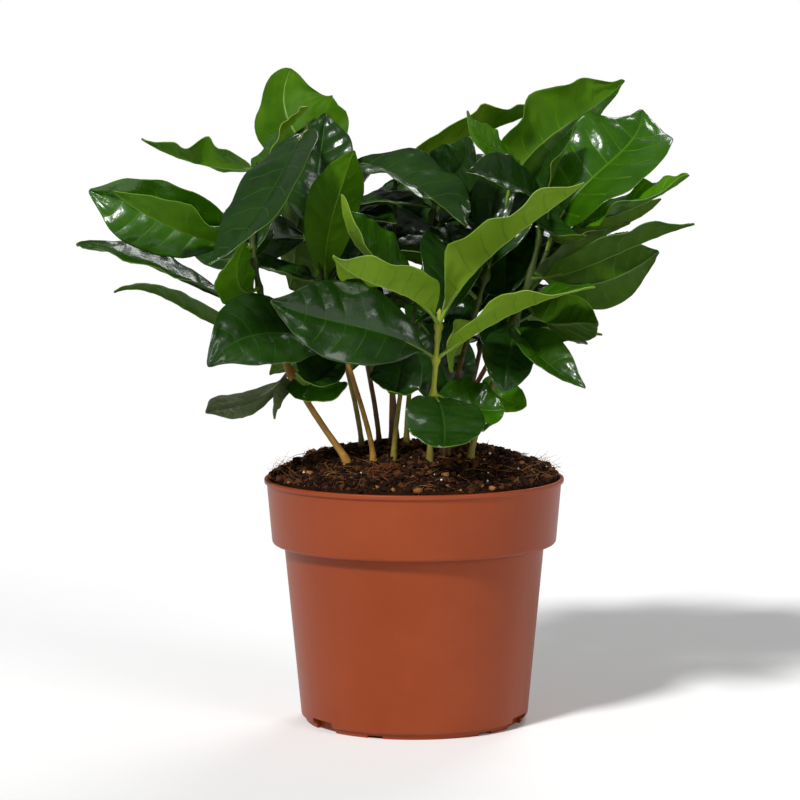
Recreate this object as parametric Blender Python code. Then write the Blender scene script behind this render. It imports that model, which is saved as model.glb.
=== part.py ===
# A potted coffee plant: a clump of young seedlings in a plain plastic nursery pot.
#
# Metres, +Z up.  The origin is the middle of the pot's underside, on the surface it
# stands on; the plant's front faces -Y.  Sizes below are in millimetres.
#
# Every seedling is two solids: a bare tapering stem with a flat cut at the soil, and the
# leafy mass on top of it.  A mass is one shoot axis with its leaves' stalks sunk into it.
# Leaves that are set by hand stand in LEAVES; more are grown by a seeded rule behind them
# and kept only where they stay inside the crown and clear of everything else.

import math
import random
from itertools import product

import bmesh
import bpy
from mathutils import Matrix, Vector
from mathutils.bvhtree import BVHTree

MM = 0.001
GAP = 0.3  # clearance between neighbouring solids
UP = Vector((0.0, 0.0, 1.0))

# Pot
POT_SIDES = 48
POT_HEIGHT = 98.0
LIP_RADIUS = 60.0
LIP_HEIGHT = 2.0
BAND_TOP_RADIUS = 59.0
BAND_FOOT_RADIUS = 56.9
BAND_FOOT_Z = 71.8
BODY_TOP_RADIUS = 52.2
BODY_FOOT_RADIUS = 45.6
BODY_FOOT_Z = 4.0
WALL = 1.2
FOOT_RING_OUTER = 43.6
FOOT_RING_INNER = 40.4
FOOT_RECESS = 1.8
FLOOR_TOP = 3.0
PAD_RADIUS = 7.0
DRAIN_ANGLES = (-54.0, 66.0, 186.0)  # degrees round from the front, positive to +X
DRAIN_WIDTH = 13.0
DRAIN_HEIGHT = 4.4
NOTCH_ANGLES = tuple(-81.0 + 60.0 * step for step in range(6))
NOTCH_WIDTH = 6.5
NOTCH_HEIGHT = 1.1

# Soil
SOIL_CROWN = 12.5  # how far the mound rises above the rim
SOIL_SPREAD = 59.0  # radius where the mound would meet the rim's level
SOIL_SHOULDER = 3.0  # a higher power gives a flatter top

# Stems and shoot axes
STEM_SIDES = 6
STEM_RADIUS = 1.2
TIP_RADIUS = 0.9
FLARE = 1.35  # foot radius over stem radius
FLARE_HEIGHT = 5.0
FIRST_HANDLE = 0.35  # how far a stem rises straight up before it leans, as a share of its knee

# Leaves
LEAF_THICKNESS = 1.0
LEAF_STEPS = 6  # along a leaf set by hand; it has two steps across, folded at the midrib
GROWN_STEPS = 5  # along a leaf grown by rule
STALK_SHARE = 0.11  # share of a leaf's length that is stalk
STALK_WIDTH = 1.7
TIP_WIDTH = 0.6
WIDEST_SKEW = 0.92  # under 1 puts the widest place a little towards the tip
OUTLINE_POWER = 0.72  # under 1 makes the blade fuller
SEED_LEAF_BREADTH = 0.6  # a leaf broader than this share of its length is a seed leaf
SEED_LEAF_POWER = 0.5  # and ends round
BOW_REACH = 1.33  # a cubic's inner handle moves the curve by three quarters of this

# Each seedling: foot (x, y), then the knee and the top of its curve, and the height where
# its bare stem ends and its leafy mass begins.
SEEDLINGS = {
    "01": {"foot": (-26, -30), "knee": (-80, -36, 124), "top": (-62, -2, 224), "leafy": 134},
    "02": {"foot": (-21, 0), "knee": (-43, 6, 165), "top": (-42, 2, 240), "leafy": 150},
    "03": {"foot": (-16, -30), "knee": (-33, -28, 150), "top": (-41, -9, 204), "leafy": 138},
    "04": {"foot": (-14, 8), "knee": (-28, 14, 160), "top": (-31, 12, 230), "leafy": 150},
    "05": {"foot": (-9, 5), "knee": (-8, 8, 160), "top": (-7, 8, 226), "leafy": 150},
    "06": {"foot": (-8, -30), "knee": (-5, -28, 145), "top": (5, -20, 188), "leafy": 142},
    "07": {"foot": (-3, 5), "knee": (-1, 12, 160), "top": (10, 14, 214), "leafy": 150},
    "08": {"foot": (6, -32), "knee": (8, -36, 140), "top": (10, -37, 168), "leafy": 126},
    "09": {"foot": (11, -24), "knee": (26, -10, 165), "top": (43, 8, 226), "leafy": 150},
    "10": {"foot": (13, -20), "knee": (42, 0, 150), "top": (61, 8, 206), "leafy": 145},
    "11": {"foot": (22, -28), "knee": (44, -24, 148), "top": (54, -4, 214), "leafy": 124},
    "12": {"foot": (20, 12), "knee": (34, 26, 160), "top": (40, 38, 206), "leafy": 145},
    "13": {"foot": (-7, 28), "knee": (-12, 42, 160), "top": (-20, 54, 208), "leafy": 145},
    "14": {"foot": (8, 24), "knee": (14, 40, 160), "top": (21, 59, 202), "leafy": 145},
}

# Leaves set by hand, by seedling: height on the axis, tip (x, y, z), width, how far the
# midrib bows up near its base and near its tip, its sweep to the left, then degrees of
# roll, twist along the blade, and fold at the midrib.
LEAVES = {
    "01": (
        (221, (-110, 27, 233), 22, -2, -8, -14, 35, -20, 24),
        (195, (-128, -8, 213), 33, -2, 0, 3, -102, -14, 24),
        (190, (-114, -52, 214), 30, -3, -6, 5, 10, 0, 18),
        (166, (-133, -10, 192), 42, -1, 6, 6, 0, -30, 6),
        (162, (-117, -25, 174), 23, -12, 10, 4, 10, 0, 14),
        (175, (-64, -52, 196), 21, -10, -4, -6, 55, 0, 6),
        (143, (-80, -48, 129), 17, -9, -3, -6, -20, -40, 6),
        (140, (-54, -45, 126), 14, -3, 6, 0, 75, 0, 14),
        (141, (-26, -34, 139), 21, -2, -4, -4, 30, -10, 6),
    ),
    "02": (
        (192, (-35, 14, 243), 30, 13, 2, 0, 5, 35, 20),
        (236, (-77, -71, 187), 32, 14, 1, 10, 15, -5, 10),
        (214, (-50, 26, 172), 32, 8, -2, 0, 70, 0, 14),
        (193, (-96, 48, 192), 26, 2, -4, 0, -75, 0, 14),
    ),
    "03": (
        (156, (-78, -64, 148), 35, 2, 13, 1, -45, -40, 10),
        (172, (-23, -38, 229), 24, 12, 3, 0, -25, 5, 28),
        (177, (-78, 6, 185), 20, -1, 2, -2, -5, -10, 16),
        (148, (-45, -58, 145), 22, 0, -10, -2, -25, -30, 26),
    ),
    "04": (
        (214, (-49, 27, 261), 42, 1, -13, 5, 95, 5, 16),
        (222, (20, -42, 200), 32, 10, 0, 5, 10, -30, 18),
    ),
    "05": (
        (220, (55, 32, 246), 29, 3, -1, 4, -25, 10, 20),
    ),
    "06": (
        (180, (-27, -65, 213), 28, -5, -14, -2, -60, 10, 30),
        (151, (-10, -46, 137), 22, 5, -10, 0, 5, -50, 12),
    ),
    "07": (
        (203, (21, -9, 234), 26, 7, -9, 1, 105, -20, 12),
        (160, (20, 0, 128), 28, 4, -4, 0, 60, 0, 14),
    ),
    "08": (
        (148, (-54, -66, 173), 33, 6, -2, -2, -75, -10, 8),
        (161, (-30, -90, 191), 29, 8, -5, 2, 15, 10, 26),
        (161, (64, -62, 217), 31, 9, 2, -1, -5, 10, 26),
        (157, (14, 10, 198), 28, 15, 7, -4, 10, -15, 22),
        (148, (68, -66, 178), 27, 4, 5, -1, 0, 20, 14),
        (133, (11, -62, 117), 31, 6, -3, 2, -5, 25, 8),
        (135, (35, -30, 128), 25, -2, -3, 3, 45, 25, 18),
    ),
    "09": (
        (205, (85, 20, 256), 35, 13, -1, 3, -68, 30, 16),
        (223, (21, -28, 244), 16, 1, -10, 0, -75, -25, 10),
        (165, (15, -24, 142), 18, -7, 7, -2, 70, 0, 12),
    ),
    "10": (
        (199, (107, -25, 219), 28, -4, -4, -1, 25, -10, 18),
        (193, (101, 32, 208), 19, -2, -6, 0, -55, 10, 30),
        (187, (93, 30, 244), 44, 19, -2, -14, 30, 25, 12),
    ),
    "11": (
        (131, (44, -18, 128), 17, 5, 0, 8, 60, 10, 10),
        (161, (35, -39, 136), 21, 0, 5, 0, -25, 0, 6),
        (160, (65, -58, 139), 20, 3, 0, -6, 15, 5, 32),
        (172, (70, -56, 163), 24, -11, 0, -1, -70, -10, 30),
        (181, (99, 18, 187), 24, -12, -2, -8, -85, 5, 10),
        (178, (109, -28, 200), 24, -4, 2, -4, -15, 15, 20),
        (207, (20, -59, 221), 22, 2, 2, 1, -55, 0, 26),
        (211, (65, -58, 197), 19, -11, -8, -4, -15, 30, 20),
    ),
    "12": (
        (200, (36, 2, 170), 30, 6, 0, 0, 20, 0, 14),
        (165, (43, 0, 140), 24, 3, -3, 0, 10, 0, 14),
    ),
    "13": (
        (206, (12, 24, 196), 30, 6, 0, 0, 40, 0, 14),
    ),
}

# Leaves grown by rule: whorls down each axis, two opposite leaves to a whorl, each whorl
# turned a quarter from the last.
SEED = 11
WHORL_STEP = 9.0
WHORLS = 9
GROWN_LENGTHS = (66.0, 86.0)
GROWN_SLENDER = 0.42  # width over length
TOP_RISE = 62.0  # degrees above level at the top whorl
RISE_STEP = 8.0  # less for each whorl below
LOWEST_RISE = 4.0
TURN_TRIES = (0.0, 24.0, -24.0, 48.0, -48.0, 72.0, -72.0, 96.0, -96.0)
RISE_TRIES = (0.0, -16.0, 16.0, 34.0)
LENGTH_TRIES = (1.0, 0.82, 0.64)
TEST_MARGIN = 0.7  # how much thicker and wider a leaf is taken to be when it is tested

# The crown's outline as seen from the front, (x, z): grown leaves stay between the lines.
SKYLINE = ((-80, 196), (-66, 224), (-56, 250), (-30, 244), (-16, 226), (2, 224), (24, 230),
           (44, 242), (76, 240), (92, 206))
BASELINE = ((-80, 180), (-64, 140), (-56, 130), (46, 130), (66, 138), (92, 176))
CROWN_DEPTH = (-18.0, 116.0)  # front and back limits of the grown leaves
SKY_GAP = ((-57, 177, 9), (23, 232, 8))  # (x, z, radius) where the sky shows through

COLOURS = {
    "pot": ((0.29, 0.06, 0.024, 1.0), 0.42),
    "soil": ((0.03, 0.014, 0.008, 1.0), 0.95),
    "stem": ((0.24, 0.16, 0.05, 1.0), 0.6),
    "leaf": ((0.03, 0.1, 0.016, 1.0), 0.35),
}


def clear_scene():
    for thing in list(bpy.data.objects):
        bpy.data.objects.remove(thing, do_unlink=True)


def material(name):
    colour, roughness = COLOURS[name]
    made = bpy.data.materials.new(name)
    made.use_nodes = True
    shader = made.node_tree.nodes["Principled BSDF"]
    shader.inputs["Base Color"].default_value = colour
    shader.inputs["Roughness"].default_value = roughness
    shader.inputs["Metallic"].default_value = 0.0
    return made


def add_object(name, bm, finish, sharp_degrees=35.0):
    """Turns millimetres into metres and hands the mesh over as one named object."""
    bmesh.ops.scale(bm, vec=(MM, MM, MM), verts=bm.verts)
    mesh = bpy.data.meshes.new(name)
    bm.to_mesh(mesh)
    bm.free()
    mesh.shade_smooth()
    mesh.set_sharp_from_angle(angle=math.radians(sharp_degrees))
    mesh.materials.append(finish)
    thing = bpy.data.objects.new(name, mesh)
    bpy.context.collection.objects.link(thing)
    return thing


# ---- pot and soil -------------------------------------------------------------------

def turned(profile):
    """A closed solid of revolution; the (r, z) profile starts and ends on the axis."""
    bm = bmesh.new()
    points = [bm.verts.new((r, 0.0, z)) for r, z in profile]
    edges = [bm.edges.new(pair) for pair in zip(points, points[1:])]
    bmesh.ops.spin(bm, geom=points + edges, cent=(0, 0, 0), axis=(0, 0, 1),
                   angle=math.tau, steps=POT_SIDES, use_merge=True)
    bmesh.ops.remove_doubles(bm, verts=bm.verts, dist=0.001)
    bmesh.ops.recalc_face_normals(bm, faces=bm.faces)
    return bm


def soil_height(r):
    return POT_HEIGHT + SOIL_CROWN * (1.0 - (r / SOIL_SPREAD) ** SOIL_SHOULDER)


def pot_profile():
    outside = [
        (0, 0), (PAD_RADIUS, 0), (PAD_RADIUS + 0.6, FOOT_RECESS),
        (FOOT_RING_INNER - 0.6, FOOT_RECESS), (FOOT_RING_INNER, 0), (FOOT_RING_OUTER, 0),
        (FOOT_RING_OUTER + 0.3, 1.5), (BODY_FOOT_RADIUS - 0.5, 2.3),
        (BODY_FOOT_RADIUS, BODY_FOOT_Z), (BODY_TOP_RADIUS, BAND_FOOT_Z),
        (BAND_FOOT_RADIUS - 1.5, BAND_FOOT_Z), (BAND_FOOT_RADIUS - 0.3, BAND_FOOT_Z + 0.7),
        (BAND_FOOT_RADIUS, BAND_FOOT_Z + 2.2), (BAND_TOP_RADIUS, POT_HEIGHT - LIP_HEIGHT),
        (LIP_RADIUS, POT_HEIGHT - LIP_HEIGHT + 0.2), (LIP_RADIUS, POT_HEIGHT - 0.4),
        (LIP_RADIUS - 0.4, POT_HEIGHT), (BAND_TOP_RADIUS - 0.4, POT_HEIGHT),
    ]
    inside = [
        (BAND_TOP_RADIUS - WALL, POT_HEIGHT - 1.4),
        (BAND_FOOT_RADIUS - WALL, BAND_FOOT_Z + 2.4),
        (BAND_FOOT_RADIUS - WALL - 0.6, BAND_FOOT_Z + WALL),
        (BODY_TOP_RADIUS - WALL, BAND_FOOT_Z + WALL - 0.4),
        (BODY_FOOT_RADIUS - WALL, BODY_FOOT_Z + 0.4), (FOOT_RING_OUTER - 0.8, FLOOR_TOP),
        (0, FLOOR_TOP),
    ]
    return outside + inside


def soil_profile():
    """The inside of the pot less the gap, under the mound."""
    ring = BAND_TOP_RADIUS - WALL - GAP
    filled = [
        (0, FLOOR_TOP + GAP), (FOOT_RING_OUTER - 1.3, FLOOR_TOP + GAP),
        (BODY_FOOT_RADIUS - WALL - GAP, BODY_FOOT_Z + 1.0),
        (BODY_TOP_RADIUS - WALL - GAP, BAND_FOOT_Z + WALL),
        (BAND_FOOT_RADIUS - WALL - 1.2, BAND_FOOT_Z + WALL + GAP),
        (BAND_FOOT_RADIUS - WALL - GAP - 0.1, BAND_FOOT_Z + 3.0),
        (ring - 0.1, POT_HEIGHT - 2.0), (ring - 0.2, POT_HEIGHT + 0.6),
    ]
    mound = [(r, soil_height(r)) for r in (55.5, 49.0, 40.0, 27.0, 0.0)]
    return filled + mound


def cutter_at(bm, degrees, radius, size):
    turn = Matrix.Rotation(math.radians(degrees), 4, "Z")
    place = Matrix.Translation((0.0, -radius, size[2] / 2.0 - 1.0))
    stretch = Matrix.Diagonal((*size, 1.0))
    bmesh.ops.create_cube(bm, size=1.0, matrix=turn @ place @ stretch)


def make_pot():
    pot = add_object("pot", turned(pot_profile()), material("pot"))
    cuts = bmesh.new()
    for degrees in DRAIN_ANGLES:
        cutter_at(cuts, degrees, FOOT_RING_OUTER + 1.5, (DRAIN_WIDTH, 7.0, DRAIN_HEIGHT + 1.0))
    for degrees in NOTCH_ANGLES:
        cutter_at(cuts, degrees, FOOT_RING_OUTER - 1.0, (NOTCH_WIDTH, 9.0, NOTCH_HEIGHT + 1.0))
    cutter = add_object("pot_cutter", cuts, pot.data.materials[0])
    cutter.hide_render = True
    cutter.display_type = "WIRE"
    cut = pot.modifiers.new("drain cut-outs", "BOOLEAN")
    cut.object = cutter
    cut.operation = "DIFFERENCE"
    cut.solver = "EXACT"


# ---- stems ----------------------------------------------------------------------------

def bezier3(a, b, c, d, t):
    near, far = 1 - t, t
    return a * near ** 3 + b * (3 * far * near ** 2) + c * (3 * far ** 2 * near) + d * far ** 3


def share_at_height(curve, height):
    low, high = 0.0, 1.0
    for _ in range(40):
        middle = (low + high) / 2
        if bezier3(*curve, middle).z < height:
            low = middle
        else:
            high = middle
    return low


def seedling_curve(name):
    """A cubic that rises straight out of the soil, leans past its knee and ends at its top."""
    row = SEEDLINGS[name]
    x, y = row["foot"]
    foot = Vector((x, y, soil_height(math.hypot(x, y))))
    knee, top = Vector(row["knee"]), Vector(row["top"])
    return foot, foot + UP * (knee.z - foot.z) * FIRST_HANDLE, knee.lerp(top, 1 / 3), top


def ring_frame(place, along):
    across = (Vector((1, 0, 0)) - along * along.x).normalized()
    beside = along.cross(across)
    turn = Matrix((across, beside, along)).transposed().to_4x4()
    return Matrix.Translation(place) @ turn


def limb(points, radii, directions):
    """A closed tapering limb through the points, with a flat cut at each end."""
    bm = bmesh.new()
    last = len(points) - 1
    rings = []
    for index, (place, radius, along) in enumerate(zip(points, radii, directions)):
        made = bmesh.ops.create_circle(bm, cap_ends=index in (0, last), segments=STEM_SIDES,
                                       radius=radius, matrix=ring_frame(place, along))
        rings.append(made["verts"])
    for lower, upper in zip(rings, rings[1:]):
        loops = [edge for ring in (lower, upper) for vert in ring for edge in vert.link_edges]
        loops = [edge for edge in set(loops) if len(edge.link_faces) < 2]
        loops = [edge for edge in loops if both_in(edge, lower) or both_in(edge, upper)]
        bmesh.ops.bridge_loops(bm, edges=loops)
    bmesh.ops.recalc_face_normals(bm, faces=bm.faces)
    return bm


def both_in(edge, ring):
    return edge.verts[0] in ring and edge.verts[1] in ring


def radius_at(share):
    return STEM_RADIUS + (TIP_RADIUS - STEM_RADIUS) * share


def stem_limb(name, ground):
    """The bare stem, from its flat cut just above the soil to where the leaves begin."""
    curve = seedling_curve(name)
    end = share_at_height(curve, SEEDLINGS[name]["leafy"])
    foot = curve[0]
    flat = ground_under(ground, foot, STEM_RADIUS * FLARE) + GAP
    points = [Vector((foot.x, foot.y, flat)), Vector((foot.x, foot.y, flat + 1.2))]
    radii = [STEM_RADIUS * FLARE, STEM_RADIUS * (1 + (FLARE - 1) * 0.6)]
    directions = [UP, UP]
    start = share_at_height(curve, flat + FLARE_HEIGHT)
    for step in range(6):
        share = start + (end - start) * step / 5
        points.append(bezier3(*curve, share))
        radii.append(radius_at(share))
        directions.append(heading(curve, share))
    return limb(points, radii, directions)


def axis_limb(name):
    """The shoot axis inside the leafy mass, a gap above the bare stem."""
    curve = seedling_curve(name)
    start = share_at_height(curve, SEEDLINGS[name]["leafy"])
    shares = [start + (1 - start) * step / 5 for step in range(6)]
    directions = [heading(curve, share) for share in shares]
    points = [bezier3(*curve, share) for share in shares]
    points[0] = points[0] + directions[0] * GAP
    return limb(points, [radius_at(share) for share in shares], directions)


def heading(curve, share):
    a, b, c, d = curve
    near, far = 1 - share, share
    return ((b - a) * near ** 2 + (c - b) * (2 * near * far) + (d - c) * far ** 2).normalized()


def ground_under(ground, place, radius):
    """The soil's highest point under a stem's foot."""
    found = []
    for step in range(8):
        turn = math.tau * step / 8
        start = Vector((place.x + radius * math.cos(turn), place.y + radius * math.sin(turn), 200))
        found.append(ground.ray_cast(start, -UP)[0].z)
    return max(found)


# ---- leaves ---------------------------------------------------------------------------

def half_width(share, width, length):
    """Half the leaf's width, from the stalk over an elliptic blade to its drip tip."""
    blade = (share - STALK_SHARE) / (1 - STALK_SHARE)
    power = SEED_LEAF_POWER if width > SEED_LEAF_BREADTH * length else OUTLINE_POWER
    full = 0.0
    if 0.0 < blade < 1.0:
        full = width / 2 * math.sin(math.pi * blade ** WIDEST_SKEW) ** power
    least = STALK_WIDTH if share < 0.97 else TIP_WIDTH
    return max(full, least / 2)


def leaf_frame(base, row):
    """Functions of the share along the leaf: the midrib's point and its two directions."""
    _, tip, _, bow_near, bow_far, sweep, roll, twist, _ = row
    tip = Vector(tip)
    chord = tip - base
    level = Vector((chord.x, chord.y, 0.0)).normalized()
    side = Vector((-level.y, level.x, 0.0))
    rise = chord.cross(side).normalized()
    near = base + chord * 0.3 + (rise * bow_near + side * sweep) * BOW_REACH
    far = base + chord * 0.7 + (rise * bow_far + side * sweep) * BOW_REACH

    def frame(share):
        place = bezier3(base, near, far, tip, share)
        ahead = bezier3(base, near, far, tip, min(1.0, share + 0.001))
        behind = bezier3(base, near, far, tip, max(0.0, share - 0.001))
        along = (ahead - behind).normalized()
        across = (side - along * side.dot(along)).normalized()
        turn = math.radians(roll + twist * (share - 0.5))
        across = across * math.cos(turn) + along.cross(across) * math.sin(turn)
        return place, across, along.cross(across)

    return frame


def leaf_blade(base, row, steps, thickness=LEAF_THICKNESS, margin=0.0, start=0.0):
    """One closed blade, folded along its midrib, with the start share left out."""
    frame = leaf_frame(base, row)
    width, fold = row[2], math.radians(row[8])
    length = (Vector(row[1]) - base).length
    bm = bmesh.new()
    bmesh.ops.create_grid(bm, x_segments=steps, y_segments=2, size=0.5)
    for vert in bm.verts:
        share = start + (1 - start) * (vert.co.x + 0.5)
        place, across, upward = frame(share)
        out = vert.co.y * 2 * (half_width(share, width, length) + margin)
        lift = abs(out) * math.sin(fold) + thickness / 2
        vert.co = place + across * out * math.cos(fold) + upward * lift
    bmesh.ops.recalc_face_normals(bm, faces=bm.faces)
    bmesh.ops.solidify(bm, geom=bm.faces[:], thickness=thickness)
    bmesh.ops.recalc_face_normals(bm, faces=bm.faces)
    return bm


def leaf_base(name, height):
    curve = seedling_curve(name)
    return bezier3(*curve, share_at_height(curve, height))


def between(line, x):
    """Height of a line of (x, z) points at x, or None past its ends."""
    for (x0, z0), (x1, z1) in zip(line, line[1:]):
        if x0 <= x <= x1:
            return z0 + (z1 - z0) * (x - x0) / (x1 - x0)
    return None


def inside_crown(bm):
    for vert in bm.verts:
        x, y, z = vert.co
        top, bottom = between(SKYLINE, x), between(BASELINE, x)
        if top is None or not bottom < z < top:
            return False
        if not CROWN_DEPTH[0] < y < CROWN_DEPTH[1]:
            return False
        if any(math.hypot(x - gx, z - gz) < reach for gx, gz, reach in SKY_GAP):
            return False
    return True


def tree_of(bm):
    return BVHTree.FromBMesh(bm)


def grown_row(base, height, level_turn, rise, length, rng_values):
    """A leaf by the rule, in the same terms as a row of LEAVES."""
    bend, lean, wring = rng_values
    out = Vector((math.cos(level_turn), math.sin(level_turn), 0.0))
    chord_rise = math.radians(rise - 12.0)
    tip = base + (out * math.cos(chord_rise) + UP * math.sin(chord_rise)) * length
    bow = length * 0.11
    return (height, tuple(tip), length * GROWN_SLENDER, bow, bow * 0.6, bend * length * 0.06,
            lean * 25.0, wring * 20.0, 14.0)


def grown_candidates(name, rng):
    """The rule's leaves down one axis, each with the turns it may try."""
    row = SEEDLINGS[name]
    first_turn = rng.uniform(0.0, 180.0)
    for whorl in range(WHORLS):
        height = row["top"][2] - 3.0 - whorl * WHORL_STEP
        for half in (0.0, 180.0):
            turn = first_turn + 90.0 * whorl + half + rng.uniform(-14.0, 14.0)
            length = rng.uniform(*GROWN_LENGTHS) * (0.8 if whorl == 0 else 1.0)
            rise = max(LOWEST_RISE, TOP_RISE - RISE_STEP * whorl + rng.uniform(-9.0, 9.0))
            values = tuple(rng.uniform(-1.0, 1.0) for _ in range(3))
            if height > row["leafy"] + 3.0:
                yield height, turn, rise, length, values


def leaf_tests(base, row, steps):
    """The leaf's body for the clearance test, and the outer blade alone."""
    thick = LEAF_THICKNESS + TEST_MARGIN
    whole = leaf_blade(base, row, steps, thick, TEST_MARGIN / 2)
    blade = leaf_blade(base, row, steps, thick, TEST_MARGIN / 2, start=0.3)
    return whole, blade


def touches(tree, others):
    return any(tree.overlap(other) for other in others)


def choose_leaves(axes, solids):
    """Every leaf that stands: the set ones, then the grown ones that keep clear."""
    chosen = {name: [] for name in SEEDLINGS}
    placed = []  # (seedling, whole tree, blade tree)

    def stands(name, whole, blade):
        rivals = [tree for other, tree, _ in placed if other != name]
        kin = [tree for other, _, tree in placed if other == name]
        foreign = [tree for other, tree in axes.items() if other != name]
        return not (touches(whole, rivals + foreign + solids) or touches(blade, kin))

    for name, rows in LEAVES.items():
        for row in rows:
            base = leaf_base(name, row[0])
            whole, blade = (tree_of(bm) for bm in leaf_tests(base, row, LEAF_STEPS))
            if stands(name, whole, blade):
                placed.append((name, whole, blade))
                chosen[name].append((base, row, LEAF_STEPS))
    rng = random.Random(SEED)
    for name in SEEDLINGS:
        for height, turn, rise, length, values in grown_candidates(name, rng):
            base = leaf_base(name, height)
            for shorter, higher, extra in product(LENGTH_TRIES, RISE_TRIES, TURN_TRIES):
                row = grown_row(base, height, math.radians(turn + extra), rise + higher,
                                length * shorter, values)
                bodies = leaf_tests(base, row, GROWN_STEPS)
                if not inside_crown(bodies[1]):
                    continue
                whole, blade = (tree_of(bm) for bm in bodies)
                if stands(name, whole, blade):
                    placed.append((name, whole, blade))
                    chosen[name].append((base, row, GROWN_STEPS))
                    break
    return chosen


def islands(bm):
    """The mesh's connected pieces, each as a set of faces."""
    left, found = set(bm.faces), []
    while left:
        piece, edge_of_search = set(), [left.pop()]
        while edge_of_search:
            face = edge_of_search.pop()
            piece.add(face)
            linked = {other for edge in face.edges for other in edge.link_faces} & left
            left -= linked
            edge_of_search.extend(linked)
        found.append(piece)
    return found


def keep_outer_skin(mesh):
    """Fills the hollows that fusing sealed and drops loose scraps: the largest skin stays."""
    bm = bmesh.new()
    bm.from_mesh(mesh)
    bmesh.ops.triangulate(bm, faces=bm.faces)
    skins = sorted(islands(bm), key=lambda faces: sum(face.calc_area() for face in faces))
    inner = [face for skin in skins[:-1] for face in skin]
    bmesh.ops.delete(bm, geom=inner, context="FACES")
    bm.to_mesh(mesh)
    bm.free()


def make_mass(name, leaves, finish):
    """The shoot axis and its leaves, joined into one solid by one union."""
    mass = add_object(f"seedling_{name}_foliage", axis_limb(name), finish)
    if not leaves:
        return
    parts = bpy.data.collections.new(f"leaves_{name}")
    for index, (base, row, steps) in enumerate(leaves):
        blade = add_object(f"leaf_{name}_{index}", leaf_blade(base, row, steps), finish)
        bpy.context.collection.objects.unlink(blade)
        parts.objects.link(blade)
    bpy.context.scene.collection.children.link(parts)
    union = mass.modifiers.new("union", "BOOLEAN")
    union.operation = "UNION"
    union.operand_type = "COLLECTION"
    union.collection = parts
    union.solver = "MANIFOLD"
    bpy.context.view_layer.update()
    joined = bpy.data.meshes.new_from_object(mass.evaluated_get(bpy.context.evaluated_depsgraph_get()))
    mass.modifiers.clear()
    keep_outer_skin(joined)
    mass.data = joined
    for blade in list(parts.objects):
        bpy.data.objects.remove(blade, do_unlink=True)
    bpy.data.collections.remove(parts)


def main():
    clear_scene()
    make_pot()
    soil = turned(soil_profile())
    ground = tree_of(soil)
    solids = [ground, tree_of(turned(pot_profile()))]
    add_object("soil", soil, material("soil"))
    stem_finish, leaf_finish = material("stem"), material("leaf")
    axes = {}
    for name in SEEDLINGS:
        stem = stem_limb(name, ground)
        solids.append(tree_of(stem))
        add_object(f"seedling_{name}_stem", stem, stem_finish)
        axes[name] = tree_of(axis_limb(name))
    for name, leaves in choose_leaves(axes, solids).items():
        make_mass(name, leaves, leaf_finish)


main()
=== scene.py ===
import math
import random
from itertools import product

import bmesh
import bpy
from mathutils import Matrix, Vector, noise
from mathutils.bvhtree import BVHTree


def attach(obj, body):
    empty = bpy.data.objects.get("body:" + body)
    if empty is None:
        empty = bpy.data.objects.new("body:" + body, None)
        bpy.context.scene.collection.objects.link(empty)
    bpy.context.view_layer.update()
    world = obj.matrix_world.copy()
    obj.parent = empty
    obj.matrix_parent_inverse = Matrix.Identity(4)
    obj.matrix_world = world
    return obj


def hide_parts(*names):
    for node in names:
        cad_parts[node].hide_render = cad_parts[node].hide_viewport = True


# A clump of young coffee plants in a plain plastic nursery pot, finished round the frame.
# Lengths below are in millimetres; a finished piece becomes metres in its own mesh.

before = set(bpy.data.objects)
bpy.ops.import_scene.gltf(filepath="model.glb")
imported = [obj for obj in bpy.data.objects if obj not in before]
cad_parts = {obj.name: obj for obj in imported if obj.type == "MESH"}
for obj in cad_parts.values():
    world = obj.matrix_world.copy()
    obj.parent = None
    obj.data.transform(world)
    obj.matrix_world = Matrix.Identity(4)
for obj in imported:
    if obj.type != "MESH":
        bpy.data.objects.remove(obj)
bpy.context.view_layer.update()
mm = 0.001
skyward = Vector((0, 0, 1))
print("frame loaded:", len(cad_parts), "nodes")


# shared shader effects

def newGroup(name, inputs, outputs):
    group = bpy.data.node_groups.new(name, "ShaderNodeTree")
    for label, kind, value in inputs:
        socket = group.interface.new_socket(label, in_out="INPUT", socket_type=f"NodeSocket{kind}")
        socket.default_value = value
    for label, kind in outputs:
        group.interface.new_socket(label, in_out="OUTPUT", socket_type=f"NodeSocket{kind}")
    return group, group.nodes.new("NodeGroupInput"), group.nodes.new("NodeGroupOutput")


def feed(tree, node, sockets):
    # each input, by name or number, is given a value or linked to another node's output
    for name, value in sockets.items():
        if isinstance(value, bpy.types.NodeSocket):
            tree.links.new(value, node.inputs[name])
        else:
            node.inputs[name].default_value = value
    return node


def addNode(tree, kind, settings=None, sockets=None):
    node = tree.nodes.new(kind)
    for name, value in (settings or {}).items():
        setattr(node, name, value)
    return feed(tree, node, sockets or {})


def makeMottle():
    # two colours in soft patches, and the patches' mask
    tree, given, result = newGroup(
        "mottle",
        (("Base", "Color", (0.5, 0.5, 0.5, 1)), ("Patch", "Color", (0.6, 0.6, 0.6, 1)),
         ("Scale", "Float", 60.0)),
        (("Color", "Color"), ("Mask", "Float")))
    place = addNode(tree, "ShaderNodeTexCoord").outputs["Object"]
    cloud = addNode(tree, "ShaderNodeTexNoise", None, {
        "Vector": place, "Scale": given.outputs["Scale"], "Detail": 5.0, "Roughness": 0.6})
    span = addNode(tree, "ShaderNodeMapRange", None, {
        "Value": cloud.outputs["Fac"], "From Min": 0.35, "From Max": 0.7})
    colour = addNode(tree, "ShaderNodeMix", {"data_type": "RGBA"}, {
        0: span.outputs["Result"], 6: given.outputs["Base"], 7: given.outputs["Patch"]})
    feed(tree, result, {"Color": colour.outputs[2], "Mask": span.outputs["Result"]})
    return tree


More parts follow.
